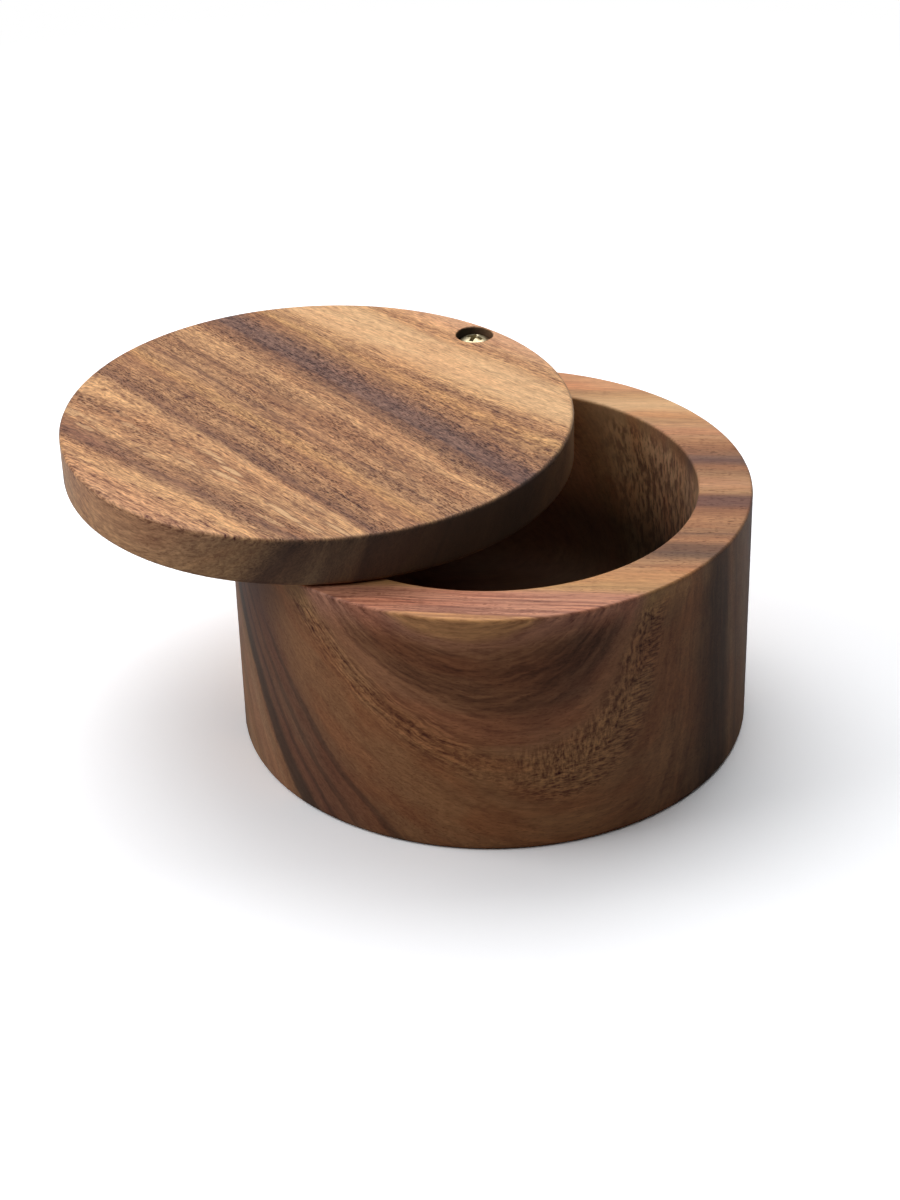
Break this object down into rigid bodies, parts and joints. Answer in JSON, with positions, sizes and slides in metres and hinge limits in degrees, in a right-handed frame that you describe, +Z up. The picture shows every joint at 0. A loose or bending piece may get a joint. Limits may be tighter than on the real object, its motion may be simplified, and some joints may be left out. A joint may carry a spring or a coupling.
{
  "type": "salt box",
  "caption": "Round wooden salt box turned from one block, with a flat lid that swivels aside on a screw in the rim.",
  "frame": {"origin": "centre of the box's base, on the surface that it stands on", "axes": "+Z up along the box's axis; +Y from the box's axis towards the pivot screw; at rest the lid stands open towards -X"},
  "size_m": [0.1177, 0.101, 0.0534],
  "materials": {
    "acacia_box": "oiled acacia, turned and sanded",
    "acacia_lid": "oiled acacia, turned and sanded",
    "screw_brass": "bright",
    "washer_brass": "pressed and tumbled"
  },
  "bodies": {
    "box": {"body": "acacia_box", "pivot_screw": "screw_brass", "head_washer": "washer_brass", "slip_washer": "washer_brass"},
    "swivel_lid": {"lid": "acacia_lid"}
  },
  "joints": [
    {"name": "lid_swivel", "type": "hinge", "parent": "box", "child": "swivel_lid", "pos_m": [0, 0.0404, 0.0491], "axis": [0, 0, 1], "continuous": true}
  ]
}
